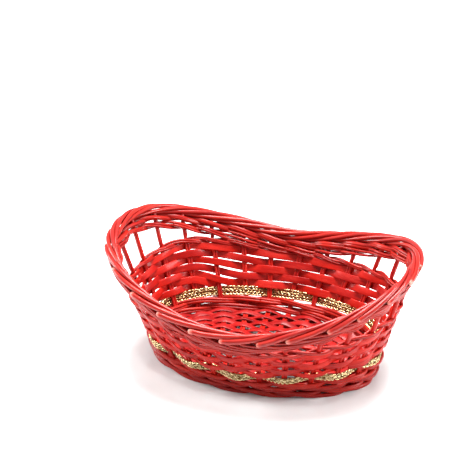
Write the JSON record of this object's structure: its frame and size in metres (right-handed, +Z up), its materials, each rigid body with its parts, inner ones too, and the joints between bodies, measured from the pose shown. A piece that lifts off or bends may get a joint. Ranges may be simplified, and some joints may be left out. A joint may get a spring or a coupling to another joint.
{
  "type": "oval wicker basket",
  "caption": "Oval woven wicker basket with a rolled border that dips along the sides, open handle gaps at the raised ends and a band of gold braid low on the wall.",
  "frame": {"origin": "on the ground, under the middle of the basket", "axes": "+X along the basket towards one handle end, +Y across it, +Z up"},
  "size_m": [0.3782, 0.2794, 0.1596],
  "materials": {
    "willow_rod": "stained red, satin",
    "willow_chip": "stained bright red, satin",
    "floor_willow": "stained red, satin",
    "gold_braid": "braided metallic gold cord"
  },
  "bodies": {
    "root": {"cross_stake_1": "willow_rod", "cross_stake_2": "willow_rod", "cross_stake_3": "willow_rod", "cross_stake_4": "willow_rod", "cross_stake_5": "willow_rod", "cross_stake_6": "willow_rod", "cross_stake_7": "willow_rod", "cross_stake_8": "willow_rod", "long_stake": "willow_rod", "end_stake_1": "willow_rod", "end_stake_2": "willow_rod", "end_stake_3": "willow_rod", "end_stake_4": "willow_rod", "end_stake_5": "willow_rod", "end_stake_6": "willow_rod", "end_stake_7": "willow_rod", "end_stake_8": "willow_rod", "floor_weaver_1": "floor_willow", "floor_weaver_2": "floor_willow", "floor_weaver_3": "floor_willow", "floor_weaver_4": "floor_willow", "floor_weaver_5": "floor_willow", "floor_weaver_6": "floor_willow", "floor_weaver_7": "floor_willow", "floor_weaver_8": "floor_willow", "lower_wale_1_rod_a": "willow_rod", "lower_wale_1_rod_b": "willow_rod", "lower_wale_2_rod_a": "willow_rod", "lower_wale_2_rod_b": "willow_rod", "lower_wale_3_rod_a": "willow_rod", "lower_wale_3_rod_b": "willow_rod", "lower_wale_4_rod_a": "willow_rod", "lower_wale_4_rod_b": "willow_rod", "gold_braid_band": "gold_braid", "chip_row_1": "willow_chip", "chip_row_2": "willow_chip", "chip_row_3": "willow_chip", "chip_row_4": "willow_chip", "chip_row_5": "willow_chip", "short_chip_row_right_1": "willow_chip", "short_chip_row_right_2": "willow_chip", "short_chip_row_left_1": "willow_chip", "short_chip_row_left_2": "willow_chip", "upper_wale_rod_a": "willow_rod", "upper_wale_rod_b": "willow_rod", "under_rim_wale_rod_a": "willow_rod", "under_rim_wale_rod_b": "willow_rod", "rim_wale_rod_a": "willow_rod", "rim_wale_rod_b": "willow_rod", "border_rod_1": "willow_rod", "border_rod_2": "willow_rod", "border_rod_3": "willow_rod"}
  },
  "joints": []
}
